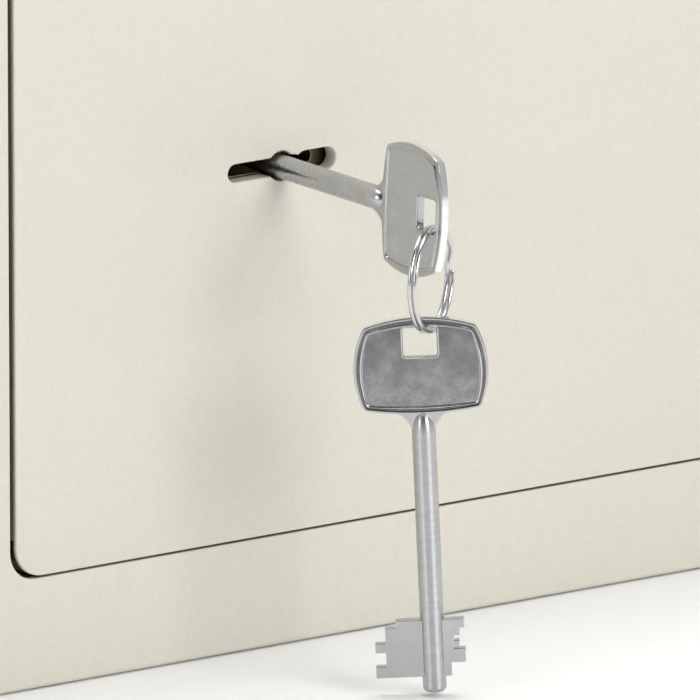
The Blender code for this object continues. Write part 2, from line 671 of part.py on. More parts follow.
def bow_outline(inset):
    """The barrel-shaped bow, drawn in from its edge by inset, with rounded corners."""
    ox, ot = BOW_CORNER_OUTER[0] - inset, BOW_CORNER_OUTER[1] + inset
    ix, it = BOW_CORNER_INNER[0] - inset, BOW_CORNER_INNER[1] - inset
    side_x = BOW_HALF_W - inset
    middle = BOW_LENGTH / 2
    end_arc = arc_through((-ox, ot), (0, inset), (ox, ot), 8)
    right_arc = arc_through((ox, ot), (side_x, middle), (ix, it), 6)
    neck_arc = arc_through((ix, it), (0, BOW_LENGTH - inset), (-ix, it), 8)
    left_arc = arc_through((-ix, it), (-side_x, middle), (-ox, ot), 6)
    points = []
    for arc, following in (
        (end_arc, right_arc), (right_arc, neck_arc), (neck_arc, left_arc), (left_arc, end_arc)
    ):
        before = Vector(arc[-1])
        corner = Vector(following[0])
        after = Vector(following[1])
        points += arc[1:]
        points.append(tuple(corner * 0.72 + before * 0.14 + after * 0.14))
    return points


def bit_outline():
    """Both stepped bits as one outline across the stem."""
    start = KEY_LENGTH - TIP_BEYOND_BITS - BIT_LENGTH
    outline = []
    for steps, way in ((LONG_BIT_STEPS, -1), (SHORT_BIT_STEPS, 1)):
        edge = []
        ends = [t for t, _ in steps[1:]] + [BIT_LENGTH / MM]
        for (t, radius), end in zip(steps, ends):
            edge += [(way * radius * MM, start + t * MM), (way * radius * MM, start + end * MM)]
        outline += edge if way < 0 else edge[::-1]
    return outline


def build_key_mesh(nickel):
    half = BOW_THICKNESS / 2
    key = extruded("key_blank", bow_outline(0), -half, half, nickel, plane=key_plane)
    base = Vector((0, 0, -(BOW_LENGTH - 0.6 * MM)))
    run = KEY_LENGTH - BOW_LENGTH + 0.6 * MM
    profile = [(0.5 * MM, 0), (1.9 * MM, 1.4 * MM), (STEM_R, 4.2 * MM), (STEM_R, run - 1.4 * MM)]
    profile += [(2.4 * MM, run - 0.5 * MM), (1.2 * MM, run)]
    stem = turned("key_stem", profile, base, (0, 0, -1), steps=20)
    neck = [(-8 * MM, BOW_LENGTH - 1.5 * MM)]
    for i in range(5):
        angle = math.pi / 2 * i / 4
        spread = 2.6 * MM + 4.4 * MM * (1 - math.sin(angle))
        neck.append((-spread, BOW_LENGTH - 0.7 * MM + 5 * MM * (1 - math.cos(angle))))
    neck += [(-x, t) for x, t in reversed(neck)]
    web = extruded("key_neck", neck, -half * 0.7, half * 0.7, plane=key_plane)
    bit_half = BIT_THICKNESS / 2
    bits = extruded("key_bits", bit_outline(), -bit_half, bit_half, plane=key_plane)
    add(key, stem, web, bits)
    panel = bow_outline(BOW_RIM)
    floor = half - PANEL_RECESS
    for name, near, far in (("key_front_panel", -half - MM, -floor), ("key_rear_panel", floor, half + MM)):
        cut(key, extruded(name, panel, near, far, plane=key_plane))
    hole_line = rect(HOLE_WIDTH / 2, HOLE_HEIGHT / 2, (0, HOLE_BORDER + HOLE_HEIGHT / 2))
    cut(key, extruded("key_hole", hole_line, -2 * half, 2 * half, plane=key_plane))
    return finished_mesh(tool(key), "key")


def frame_of(x_axis, z_axis, origin):
    """A placement from two square directions and a point."""
    x_axis = Vector(x_axis).normalized()
    z_axis = Vector(z_axis).normalized()
    y_axis = z_axis.cross(x_axis)
    turn = Matrix((x_axis, y_axis, z_axis)).transposed().to_4x4()
    return Matrix.Translation(origin) @ turn


def split_ring_mesh(nickel):
    """Two turns of round wire that step from one coil to the other between the wire's ends."""
    steps, sides = 66, 8
    first, last = math.radians(29), math.radians(718)
    ramp_start, ramp_end = math.radians(359), math.radians(388)
    loops = []
    for i in range(steps + 1):
        angle = first + (last - first) * i / steps
        share = min(max((angle - ramp_start) / (ramp_end - ramp_start), 0), 1)
        offset = COIL_STEP * (0.5 - share)
        out = Vector((math.cos(angle), 0, math.sin(angle)))
        centre = out * RING_R + Vector((0, offset, 0))
        loop = []
        for j in range(sides):
            turn = 2 * math.pi * (j + 0.5) / sides
            loop.append(centre + WIRE_R * (out * math.cos(turn) + Vector((0, math.sin(turn), 0))))
        loops.append(loop)
    return lofted("split_ring", loops, nickel)


def build_keys(nickel):
    mesh = build_key_mesh(nickel)

    def key_object(name, place):
        key = bpy.data.objects.new(name, mesh)
        bpy.context.scene.collection.objects.link(key)
        key.matrix_world = place
        return key

    outward = Vector((0, -math.cos(KEY_SAG), -math.sin(KEY_SAG)))
    pivot = front(KEY_X, KEY_Z, KEY_SAG_DEPTH)
    bow_end = pivot + outward * (KEY_STANDS_OUT + KEY_SAG_DEPTH)
    lean = Matrix.Rotation(-KEY_LEAN, 3, outward)
    up = lean @ Vector((0, -math.sin(KEY_SAG), math.cos(KEY_SAG)))
    lock_key = key_object("lock_key", frame_of(up, outward, bow_end))

    hole = bow_end - outward * (HOLE_BORDER + HOLE_HEIGHT / 2)
    rests_at = hole + outward * RING_SIDE
    wire_top = rests_at - up * (HOLE_WIDTH / 2 - WIRE_R - RING_HOLE_CLEARANCE)
    ring_centre = wire_top - Vector((0, 0, RING_R))
    along = (math.cos(RING_YAW), math.sin(RING_YAW), 0)
    ring = split_ring_mesh(nickel)
    ring.name = "key_ring"
    ring.matrix_world = frame_of(along, (0, 0, 1), ring_centre)

    back_along = RING_R * math.sin(SPARE_HANGS_BEFORE_LOW)
    drop = RING_R * math.cos(SPARE_HANGS_BEFORE_LOW)
    hang_point = ring_centre - back_along * Vector(along) - Vector((0, 0, drop))
    across = Vector((math.cos(SPARE_YAW), math.sin(SPARE_YAW), 0))
    tilt = Matrix.Rotation(SPARE_TILT, 3, Vector((0, 0, 1)).cross(across))
    rise = tilt @ Vector((0, 0, 1))
    across = tilt @ across
    top = hang_point + rise * (WIRE_R + SPARE_CLEARANCE + HOLE_BORDER) - across * SPARE_SIDE
    spare = key_object("spare_key", frame_of(across, rise, top))
    ring_pivot = rests_at - up * (HOLE_WIDTH / 2 + BOW_HALF_W) / 2
    return lock_key, ring, spare, ring_pivot, hang_point


def on_axis(name, place, pieces, parent=None):
    """An empty on a joint's axis that carries its pieces."""
    empty = bpy.data.objects.new(name, None)
    empty.empty_display_size = 0.02
    bpy.context.scene.collection.objects.link(empty)
    empty.location = place
    bpy.context.view_layer.update()
    if parent:
        empty.parent = parent
        empty.matrix_parent_inverse = parent.matrix_world.inverted()
        bpy.context.view_layer.update()
    for piece in pieces:
        piece.parent = empty
        piece.matrix_parent_inverse = empty.matrix_world.inverted()
    return empty


def main():
    for obj in list(bpy.data.objects):
        bpy.data.objects.remove(obj, do_unlink=True)
    paint = material("cream_powder_coat", (0.70, 0.68, 0.60), 0.55, 0)
    filler = material("fire_filling", (0.55, 0.53, 0.50), 0.95, 0)
    steel = material("zinc_plated_steel", (0.55, 0.55, 0.54), 0.35, 1)
    brass = material("brass", (0.72, 0.55, 0.25), 0.35, 1)
    nickel = material("nickel_plate", (0.62, 0.62, 0.63), 0.22, 1)
    seal_look = material("fire_seal", (0.05, 0.05, 0.05), 0.8, 0)

    build_casing(paint, filler, steel, seal_look)
    door_pieces = build_door(paint, filler, steel)
    lock_pieces, levers, bolt_pieces = build_lock(steel, brass)
    lock_key, ring, spare, ring_pivot, hang_point = build_keys(nickel)

    hinge = on_axis("hinge_axis", front(HINGE_X, MIDDLE_Z, HINGE_DEPTH), door_pieces + lock_pieces)
    on_axis("lever_axis", front(LEVER_PIVOT_X, KEY_Z, LEVER_DEPTHS[0]), levers, hinge)
    on_axis("bolt_axis", front(BOLT_INNER_X, KEY_Z - BOLT_DROP, BOLT_DEPTH), bolt_pieces, hinge)
    key_axis = on_axis("key_axis", front(KEY_X, KEY_Z, KEY_SAG_DEPTH), [lock_key], hinge)
    ring_axis = on_axis("ring_axis", ring_pivot, [ring], key_axis)
    on_axis("spare_axis", hang_point, [spare], ring_axis)


main()
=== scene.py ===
"""Looks for a small fire-resistant document box: powder-coated casing and door, and nickel-plated keys on a
split ring.

Metres, +Z up, front towards -Y. The origin is the middle of the casing's underside."""

import math

import bmesh
import bpy
from mathutils import Matrix, Vector


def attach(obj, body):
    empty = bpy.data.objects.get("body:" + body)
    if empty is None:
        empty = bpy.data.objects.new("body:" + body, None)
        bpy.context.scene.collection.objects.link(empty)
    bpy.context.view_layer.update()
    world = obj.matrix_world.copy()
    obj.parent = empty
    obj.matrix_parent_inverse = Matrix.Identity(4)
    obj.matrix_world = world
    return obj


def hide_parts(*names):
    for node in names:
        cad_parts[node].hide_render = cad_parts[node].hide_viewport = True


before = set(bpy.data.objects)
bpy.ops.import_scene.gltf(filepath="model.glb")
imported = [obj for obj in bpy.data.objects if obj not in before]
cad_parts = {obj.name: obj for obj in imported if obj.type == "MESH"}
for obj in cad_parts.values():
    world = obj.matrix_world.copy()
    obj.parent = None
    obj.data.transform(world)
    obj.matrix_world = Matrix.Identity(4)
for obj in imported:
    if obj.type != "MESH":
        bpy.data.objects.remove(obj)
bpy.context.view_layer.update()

MM = 0.001
DARK_SIDE = (-0.47, -0.63, 0.62)  # towards the unlit part of the studio, above the camera

# Casing and door
WIDTH = 400 * MM
DEPTH = 340 * MM
HEIGHT = 226 * MM
FRONT_Y = -DEPTH / 2
MIDDLE_Z = HEIGHT / 2
SHEET = 2 * MM
SHEET_END_ROUND = 1.2 * MM
EDGE_ROUND = 1.5 * MM
BACK_EDGE_ROUND = 0.6 * MM
SHARPEST_ROUND = 0.02 * MM
OPENING_HALF_W = 173.8 * MM
OPENING_HALF_H = 86.95 * MM
OPENING_ROUND = 7 * MM
OPENING_LIP = 0.35 * MM
DOOR_HALF_W = 171 * MM
DOOR_HALF_H = 86.5 * MM
DOOR_ROUND = 7.5 * MM
DOOR_PLATE = 4 * MM
DOOR_SHEET = 1.2 * MM
DOOR_SHEET_OVERHANG = 7 * MM
DOOR_EDGE_ROUND = 0.6 * MM
FREE_EDGE_LAP = 1.15 * MM
PAN_DEPTH = 26.1 * MM
CORNER_NOTCH = 8.4 * MM
FLANGE_SHORTER = 4.5 * MM
FLANGE_INSET = 0.02 * MM
FLANGE_INTO_SHEET = 0.1 * MM
FLANGE_ROUND = 0.5 * MM
HINGE_X = 160 * MM
HINGE_DEPTH = 7.5 * MM
PIN_HOLE_R = 2.8 * MM
BOLT_DEPTH = 14.35 * MM
BOLT_DROP = 8.5 * MM
BOLT_HOLE_R = 6.25 * MM

# Lock and keys
KEY_X = -96.3 * MM
KEY_Z = MIDDLE_Z
KEYHOLE_PARTS = [(-15.2, 6, 2.15), (-3.5, 3.5, 3.5), (4.2, 15.6, 2.65)]  # left, right, radius, in mm
KEYHOLE_POINTS = 60
KEYHOLE_LIP = 0.45 * MM
KEY_LENGTH = 88.1 * MM
STEM_INTO_BOW = 0.7 * MM
BOW_LENGTH = 22.9 * MM
BOW_HALF_W = 15.4 * MM
BOW_CORNER_OUTER = (12.8 * MM, 2.2 * MM)
BOW_CORNER_INNER = (13.4 * MM, 21.5 * MM)
BOW_CORNER_ROUND = 0.7 * MM
BOW_HALF = 1.3 * MM
BOW_SECTION = [  # inset and half thickness from the panel out to the edge, in mm
    (2.12, 0.92), (2.02, 0.96), (1.94, 1.12), (1.84, 1.25), (1.70, 1.30),
    (1.54, 1.26), (1.40, 1.13), (1.26, 0.98), (1.08, 0.93), (0.86, 0.97),
    (0.62, 1.05), (0.36, 1.05), (0.12, 0.99), (0.02, 0.89), (0, 0.76),
]
GROOVE_FROM = 0.7 * MM
GROOVE_TO = 1.45 * MM
OUTER_EDGE_TO = 0.05 * MM
HOLE_HALF_W = 3.85 * MM
HOLE_HALF_H = 3.375 * MM
HOLE_ROUND = 0.5 * MM
HOLE_BORDER = 2.55 * MM
HOLE_RAISED_BORDER = [(0.42, -1.14), (0.52, -1.04), (0.52, 1.04), (0.42, 1.14)]  # growth and height, in mm
HOLE_CHAMFER = [(0.5, 0.9), (0.26, -0.14), (0.12, -0.26), (0, -0.5)]  # growth and height over the bow, in mm
STEM_SHOULDER = [  # radius and distance along the stem, in mm
    (0.15, 0), (0.75, 0.18), (1.3, 0.5), (1.85, 1.1), (2.3, 2.0), (2.6, 3.2), (2.72, 4.4), (2.75, 5.6),
]
STEM_TIP = [  # radius and distance before the tip, in mm
    (2.75, 1.3), (2.62, 0.8), (2.3, 0.35), (1.8, 0.08), (1.2, 0),
]
BIT_LENGTH = 13.3 * MM
BIT_HALF = 1.4 * MM
TIP_BEYOND_BITS = 3.8 * MM
LONG_BIT_STEPS = [(0, 8.4), (1.7, 10.8), (5.3, 13.2), (7.4, 10.8), (10.7, 13.2)]
SHORT_BIT_STEPS = [(0, 7.3), (2.1, 6.2), (3.9, 4.9), (5.1, 6.1), (6.3, 4.9), (7.0, 7.4), (10.2, 4.1)]
KEY_STANDS_OUT = 62.3 * MM
KEY_LEAN = math.radians(1.6)
KEY_SAG = math.radians(0.95)
KEY_SAG_DEPTH = 8 * MM
RING_R = 11.95 * MM
WIRE_R = 0.6 * MM
WIRE_POLISH = 0.03 * MM
WIRE_STEPS = 420
WIRE_SIDES = 18
WIRE_START = math.radians(29)
WIRE_END = math.radians(718)
COIL_CHANGE_START = math.radians(359)
COIL_CHANGE_END = math.radians(388)
COIL_STEP = 1.24 * MM
RING_YAW = math.radians(32)
RING_HOLE_CLEARANCE = 0.22 * MM
RING_SIDE = 0.65 * MM
SPARE_CLEARANCE = 0.53 * MM
SPARE_YAW = math.radians(-37.2)
SPARE_TILT = math.radians(-2.33)
SPARE_SIDE = 1.85 * MM
SPARE_HANGS_BEFORE_LOW = math.radians(11.5)

# Places of the looks in a key's list
PANEL_LOOK = 1
STEM_LOOK = 2
GROOVE_LOOK = 3
OUTER_EDGE_LOOK = 4

# Stage and camera
FLOOR_R = 12
FLOOR_DROP = 0.2 * MM
WORLD_TO_CAMERA = 1.05
WORLD_TO_OBJECT = 0.47
DARK_TONE = (0.06, 0.06, 0.06)
LIGHTS = [  # name, place, aim, width and height, watts
    ("key_light", (0.25, -2.4, 1.25), (-0.05, -0.17, 0.11), (1.3, 1.1), 29.5),
    ("left_fill", (-2.4, -0.6, 1.0), (-0.1, 0, 0.1), (0.9, 1.4), 11),
    ("top_soft", (0.2, 0.3, 2.4), (0, 0, 0.1), (1.8, 1.8), 47),
]
SENSOR_WIDTH = 36
CAMERA_LENS = 1712.1
CAMERA_AIM = (-0.07689, -0.170, 0.06686)
CAMERA_DISTANCE = 7.65
CAMERA_TURN = math.radians(36.818)
CAMERA_RISE = math.radians(13.315)
CAMERA_ROLL = math.radians(-0.134)


# Materials


class Nodes:
    """A material's or a world's node tree with short ways to add and join nodes."""

    def __init__(self, name, world=None):
        self.material = world or bpy.data.materials.new(name)
        self.material.use_nodes = True
        self.tree = self.material.node_tree
        if world:
            self.tree.nodes.clear()
            self.place = self.add("ShaderNodeTexCoord").outputs["Generated"]
        else:
            self.shader = self.tree.nodes["Principled BSDF"]
            self.place = self.add("ShaderNodeTexCoord").outputs["Object"]

    def add(self, kind, **settings):
        node = self.tree.nodes.new(kind)
        for key, value in settings.items():
            setattr(node, key, value)
        return node

    def join(self, source, target):
        self.tree.links.new(source, target)

    def put(self, socket, value):
        if isinstance(value, bpy.types.NodeSocket):
            self.join(value, socket)
        else:
            socket.default_value = value

    def stretched(self, scale):
        mapping = self.add("ShaderNodeMapping")
        self.join(self.place, mapping.inputs["Vector"])
        mapping.inputs["Scale"].default_value = scale
        return mapping.outputs["Vector"]

    def noise(self, scale, detail=3, rough=0.5, place=None):
        node = self.add("ShaderNodeTexNoise")
        self.join(place or self.place, node.inputs["Vector"])
        node.inputs["Scale"].default_value = scale
        node.inputs["Detail"].default_value = detail
        node.inputs["Roughness"].default_value = rough
        return node.outputs["Fac"]

    def cells(self, scale, smooth=0.6):
        node = self.add("ShaderNodeTexVoronoi", feature="SMOOTH_F1")
        self.join(self.place, node.inputs["Vector"])
        node.inputs["Scale"].default_value = scale
        node.inputs["Smoothness"].default_value = smooth
        return node.outputs["Distance"]

    def remap(self, value, low, high, to_low, to_high):
        node = self.add("ShaderNodeMapRange")
        self.put(node.inputs["Value"], value)
        for key, number in (("From Min", low), ("From Max", high), ("To Min", to_low), ("To Max", to_high)):
            node.inputs[key].default_value = number
        return node.outputs["Result"]

    def maths(self, operation, first, second, clamp=False):
        node = self.add("ShaderNodeMath", operation=operation, use_clamp=clamp)
        self.put(node.inputs[0], first)
        self.put(node.inputs[1], second)
        return node.outputs["Value"]

    def mix(self, share, first, second):
        node = self.add("ShaderNodeMix", data_type="RGBA")
        self.put(node.inputs["Factor"], share)
        for socket, value in ((node.inputs[6], first), (node.inputs[7], second)):
            self.put(socket, value if isinstance(value, bpy.types.NodeSocket) else (*value, 1))
        return node.outputs[2]

    def edges(self, radius):
        """A mask that is 1 on edges, from the difference of the rounded and true normals."""
        rounded = self.add("ShaderNodeBevel", samples=4)
        rounded.inputs["Radius"].default_value = radius
        true_normal = self.add("ShaderNodeNewGeometry").outputs["True Normal"]
        dot = self.add("ShaderNodeVectorMath", operation="DOT_PRODUCT")
        self.join(rounded.outputs["Normal"], dot.inputs[0])
        self.join(true_normal, dot.inputs[1])
        return self.remap(dot.outputs["Value"], 0.99, 0.8, 0, 1)

    def bump(self, height, strength, distance, normal=None):
        node = self.add("ShaderNodeBump")
        self.put(node.inputs["Height"], height)
        node.inputs["Strength"].default_value = strength
        node.inputs["Distance"].default_value = distance
        if normal:
            self.join(normal, node.inputs["Normal"])
        return node.outputs["Normal"]

    def finish(self, colour, roughness, metallic, normal):
        self.put(self.shader.inputs["Base Color"], colour)
        self.put(self.shader.inputs["Roughness"], roughness)
        self.shader.inputs["Metallic"].default_value = metallic
        self.join(normal, self.shader.inputs["Normal"])
        return self.material


def powder_coat(name, light, dark, peel=0.5):
    """Cream powder coat: fine orange peel, faint clouding, edges lightened as rubbed paint and painted
    highlight, and painted shade in narrow gaps.
    """
    nodes = Nodes(name)
    clouds = nodes.remap(nodes.noise(14, 2), 0.35, 0.65, 0, 1)
    colour = nodes.mix(clouds, light, dark)
    cells = nodes.cells(760)
    grain = nodes.noise(1500, 2, 0.6)
    coarse = nodes.maths("MULTIPLY", cells, 0.8)
    fine = nodes.maths("MULTIPLY", grain, 0.55)
    height = nodes.maths("ADD", coarse, fine)
    fleck = nodes.remap(height, 0.35, 0.85, 0, 0.07)
    colour = nodes.mix(fleck, colour, tuple(0.55 * part for part in dark))
    # Painted shade: an olive-brown tone where ambient occlusion finds a narrow gap, kept off the lowest 3 to
    # 6 mm above the floor.
    hidden = nodes.add("ShaderNodeAmbientOcclusion", samples=8)
    hidden.inputs["Distance"].default_value = 6 * MM
    split = nodes.add("ShaderNodeSeparateXYZ")
    nodes.join(nodes.place, split.inputs["Vector"])
    above_floor = nodes.remap(split.outputs["Z"], 3 * MM, 6 * MM, 0, 1)
    painted_gap_shade = nodes.maths("MULTIPLY", nodes.remap(hidden.outputs["AO"], 0.2, 0.42, 1, 0), above_floor)
    colour = nodes.mix(painted_gap_shade, colour, (0.34, 0.29, 0.15))
    # Edges lightened towards a pale cream in noisy patches: partly rubbed paint, partly painted highlight.
    rub_and_highlight_share = nodes.remap(nodes.noise(110, 3), 0.4, 0.7, 0.15, 0.6)
    rub_and_highlight = nodes.maths("MULTIPLY", nodes.edges(0.9 * MM), rub_and_highlight_share)
    colour = nodes.mix(rub_and_highlight, colour, (0.86, 0.85, 0.79))
    roughness = nodes.remap(nodes.noise(38, 3), 0.3, 0.7, 0.40, 0.55)
    slow = nodes.bump(nodes.noise(55, 1), 0.10, 0.6 * MM)
    normal = nodes.bump(height, peel, 0.2 * MM, slow)
    nodes.shader.inputs["Specular IOR Level"].default_value = 0.42
    return nodes.finish(colour, roughness, 0, normal)


def plated_metal(name, base, dull, rough, grain=(1, 1, 1), speck=0.25, edge=0.5, edge_gain=1.25):
    """Plated or drawn metal: clouded tone, fine directional marks, and smoother edges brightened as rubbed
    metal and painted highlight.
    """
    nodes = Nodes(name)
    clouds = nodes.remap(nodes.noise(140, 4, 0.6), 0.35, 0.68, 0, 1)
    colour = nodes.mix(clouds, base, dull)
    marks = nodes.noise(900, 4, 0.65, nodes.stretched(grain))
    # Edges brightened by edge_gain: partly rubbed metal, partly painted highlight.
    wear_and_painted_light = nodes.edges(0.35 * MM)
    bright = tuple(min(1, edge_gain * part) for part in base)
    colour = nodes.mix(nodes.maths("MULTIPLY", wear_and_painted_light, edge), colour, bright)
    roughness = nodes.remap(nodes.noise(420, 3), 0.3, 0.7, *rough)
    smoothed = nodes.maths("MULTIPLY", wear_and_painted_light, 0.08)
    roughness = nodes.maths("SUBTRACT", roughness, smoothed, clamp=True)
    normal = nodes.bump(marks, speck, 0.03 * MM)
    return nodes.finish(colour, roughness, 1, normal)


def turned_nickel(name):
    """The key's stem: nickel over lathe marks that run round it, so highlights stretch along it."""
    nodes = Nodes(name)
    marks = nodes.noise(1100, 3, 0.5, nodes.stretched((0.2, 0.2, 1)))
    colour = nodes.mix(nodes.remap(marks, 0.4, 0.7, 0, 1), (0.53, 0.53, 0.545), (0.48, 0.48, 0.495))
    rough = nodes.remap(nodes.noise(420, 3), 0.3, 0.7, 0.29, 0.34)
    tangent = nodes.add("ShaderNodeTangent")
    tangent.direction_type = "RADIAL"
    tangent.axis = "Z"
    nodes.join(tangent.outputs["Tangent"], nodes.shader.inputs["Tangent"])
    nodes.shader.inputs["Anisotropic"].default_value = 0.88
    nodes.shader.inputs["Anisotropic Rotation"].default_value = 0.25
    return nodes.finish(colour, rough, 1, nodes.bump(marks, 0.1, 0.01 * MM))


def cast_panel(name, light, dark, wear_and_shade):
    """The key bow's recessed panel: satin nickel over a fine ground, with painted shade towards the bow's
    end and darker patches of worn plating.
    """
    nodes = Nodes(name)
    mottle = nodes.noise(1500, 3, 0.6)
    patches = nodes.noise(260, 4, 0.62)
    colour = nodes.mix(nodes.remap(patches, 0.38, 0.66, 0, 1), light, dark)
    split = nodes.add("ShaderNodeSeparateXYZ")
    nodes.join(nodes.place, split.inputs["Vector"])
    # Painted shade: darker towards the bow's end, mixed with random patches of worn plating.
    shade_towards_end = nodes.remap(split.outputs["Z"], -BOW_LENGTH, -HOLE_BORDER, 0.1, 1)
    worn_patches = nodes.remap(nodes.noise(170, 3), 0.25, 0.6, 0.3, wear_and_shade)
    wear_and_painted_light = nodes.maths("MULTIPLY", shade_towards_end, worn_patches)
    colour = nodes.mix(nodes.maths("MULTIPLY", wear_and_painted_light, wear_and_shade), colour, tuple(0.55 * part for part in dark))
    colour = nodes.mix(nodes.remap(mottle, 0.48, 0.7, 0, 0.6 * wear_and_shade), colour, (0.2, 0.2, 0.205))
    rough = nodes.remap(patches, 0.3, 0.7, 0.26, 0.36)
    normal = nodes.bump(mottle, 0.3 * wear_and_shade, 0.04 * MM, nodes.bump(patches, 0.25 * wear_and_shade, 0.08 * MM))
    return nodes.finish(colour, rough, 1, normal)


def seal_look():
    nodes = Nodes("graphite_seal")
    flakes = nodes.noise(700, 5, 0.7)
    colour = nodes.mix(nodes.remap(flakes, 0.4, 0.7, 0, 1), (0.035, 0.035, 0.037), (0.09, 0.09, 0.092))
    rough = nodes.remap(flakes, 0.3, 0.7, 0.6, 0.85)
    normal = nodes.bump(nodes.noise(500, 4), 0.5, 0.2 * MM)
    return nodes.finish(colour, rough, 0, normal)


def filling_look():
    nodes = Nodes("cast_filling")
    pores = nodes.cells(420, 0.3)
    clouds = nodes.noise(40, 5, 0.65)
    colour = nodes.mix(nodes.remap(clouds, 0.35, 0.65, 0, 1), (0.60, 0.585, 0.55), (0.47, 0.455, 0.42))
    colour = nodes.mix(nodes.remap(pores, 0.0, 0.25, 0.6, 0), colour, (0.26, 0.25, 0.23))
    rough = nodes.remap(clouds, 0.3, 0.7, 0.85, 0.97)
    normal = nodes.bump(pores, 0.6, 0.5 * MM, nodes.bump(clouds, 0.4, 1.5 * MM))
    return nodes.finish(colour, rough, 0, normal)


# Mesh helpers


def front(x, z, depth):
    """A point given by X, Z and its depth behind the front face."""
    return Vector((x, FRONT_Y + depth, z))


def mesh_object(name, bm, looks, smooth_angle=35):
    bmesh.ops.recalc_face_normals(bm, faces=bm.faces[:])
    mesh = bpy.data.meshes.new(name)
    bm.to_mesh(mesh)
    bm.free()
    mesh.shade_smooth()
    mesh.set_sharp_from_angle(angle=math.radians(smooth_angle))
    obj = bpy.data.objects.new(name, mesh)
    bpy.context.scene.collection.objects.link(obj)
    for look in looks:
        mesh.materials.append(look)
    return obj


def lofted(name, loops, looks, cap_look=0, joined=False):
    """A skin over loops of equal length, capped at both ends or joined round from last to first."""
    bm = bmesh.new()
    rings = [[bm.verts.new(point) for point in loop] for loop in loops]
    pairs = list(zip(rings, rings[1:]))
    if joined:
        pairs.append((rings[-1], rings[0]))
    for first, second in pairs:
        for i, vert in enumerate(first):
            bm.faces.new((first[i - 1], vert, second[i], second[i - 1]))
    if not joined:
        for ring in (rings[0], rings[-1]):
            bm.faces.new(ring).material_index = cap_look
    return mesh_object(name, bm, looks)


def turned(name, profile, base, axis, looks, steps=48):
    """A lathe-turned piece: (radius, height) pairs along an axis that starts at base."""
    place = Matrix.Translation(base) @ Vector(axis).to_track_quat("Z", "Y").to_matrix().to_4x4()
    loops = []
    for radius, height in profile:
        angles = [2 * math.pi * i / steps for i in range(steps)]
        loops.append([place @ Vector((radius * math.cos(a), radius * math.sin(a), height)) for a in angles])
    return lofted(name, loops, looks)


def block(name, low, high, looks, rounding):
    bm = bmesh.new()
    bmesh.ops.create_cube(bm, size=1)
    for vert in bm.verts:
        vert.co = [low[i] if vert.co[i] < 0 else high[i] for i in range(3)]
    bmesh.ops.bevel(bm, geom=bm.edges[:], offset=rounding, segments=3, profile=0.5, affect="EDGES")
    return mesh_object(name, bm, looks)


def prism(name, outline, near, far, plane, looks, bevel):
    """A flat plate from an outline, its rims drawn in by a small bevel."""
    bm = bmesh.new()
    ring = [bm.verts.new(plane(u, v, near)) for u, v in outline]
    face = bm.faces.new(ring)
    grown = bmesh.ops.extrude_face_region(bm, geom=[face])["geom"]
    new_verts = [part for part in grown if isinstance(part, bmesh.types.BMVert)]
    bmesh.ops.translate(bm, verts=new_verts, vec=plane(0, 0, far) - plane(0, 0, near))
    bmesh.ops.recalc_face_normals(bm, faces=bm.faces[:])
    rims = [edge for edge in bm.edges if {len(f.verts) for f in edge.link_faces} != {4}]
    bmesh.ops.bevel(bm, geom=rims, offset=bevel, segments=2, profile=0.5, affect="EDGES")
    return mesh_object(name, bm, looks)


def rounded_rect(half_w, half_h, radius, centre=(0, MIDDLE_Z), steps=10):
    points = []
    for quarter in range(4):
        sx = 1 if quarter in (0, 3) else -1
        sz = 1 if quarter < 2 else -1
        for i in range(steps + 1):
            angle = math.pi / 2 * (quarter + i / steps)
            x = centre[0] + sx * (half_w - radius) + radius * math.cos(angle)
            z = centre[1] + sz * (half_h - radius) + radius * math.sin(angle)
            points.append((x, z))
    return points


def with_booleans(obj, *steps):
    """The object with others added to it or cut from it, worked into its mesh."""
    for other, operation in steps:
        boolean = obj.modifiers.new(other.name, "BOOLEAN")
        boolean.operation = operation
        boolean.object = other
    bpy.context.view_layer.update()
    graph = bpy.context.evaluated_depsgraph_get()
    mesh = bpy.data.meshes.new_from_object(obj.evaluated_get(graph))
    obj.modifiers.clear()
    obj.data = mesh
    mesh.shade_smooth()
    mesh.set_sharp_from_angle(angle=math.radians(30))
    for other, _ in steps:
        bpy.data.objects.remove(other, do_unlink=True)
    return obj


# Casing and door


def build_casing(paint):
    """The folded casing with its rounded outer edges and a small rolled lip round the door opening."""
    half_w, half_h = WIDTH / 2, HEIGHT / 2

    def loop(outer_w, outer_h, radius, depth):
        return [front(x, z, depth) for x, z in rounded_rect(outer_w, outer_h, radius)]

    loops = [loop(half_w - SHEET, half_h - SHEET, SHEET_END_ROUND, DEPTH)]
    loops.append(loop(half_w - SHEET, half_h - SHEET, SHEET_END_ROUND, SHEET))
    loops.append(loop(OPENING_HALF_W, OPENING_HALF_H, OPENING_ROUND, SHEET))
    for i in range(5):
        angle = math.pi / 2 * i / 4
        grown = OPENING_LIP * (1 - math.cos(angle))
        depth = OPENING_LIP * (1 - math.sin(angle))
        loops.append(loop(OPENING_HALF_W + grown, OPENING_HALF_H + grown, OPENING_ROUND + grown, depth))
    for i in range(9):
        angle = math.pi / 2 * i / 8
        drawn_in = EDGE_ROUND * (1 - math.sin(angle))
        depth = EDGE_ROUND * (1 - math.cos(angle))
        radius = max(EDGE_ROUND - drawn_in, SHARPEST_ROUND)
        loops.append(loop(half_w - drawn_in, half_h - drawn_in, radius, depth))
    for i in range(4):
        angle = math.pi / 2 * i / 3
        drawn_in = BACK_EDGE_ROUND * (1 - math.cos(angle))
        depth = DEPTH - BACK_EDGE_ROUND * (1 - math.sin(angle))
        loops.append(loop(half_w - drawn_in, half_h - drawn_in, EDGE_ROUND - drawn_in, depth))
    casing = lofted("casing_shell", loops, [paint], joined=True)
    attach(casing, "cabinet")
    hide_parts("outer_casing")


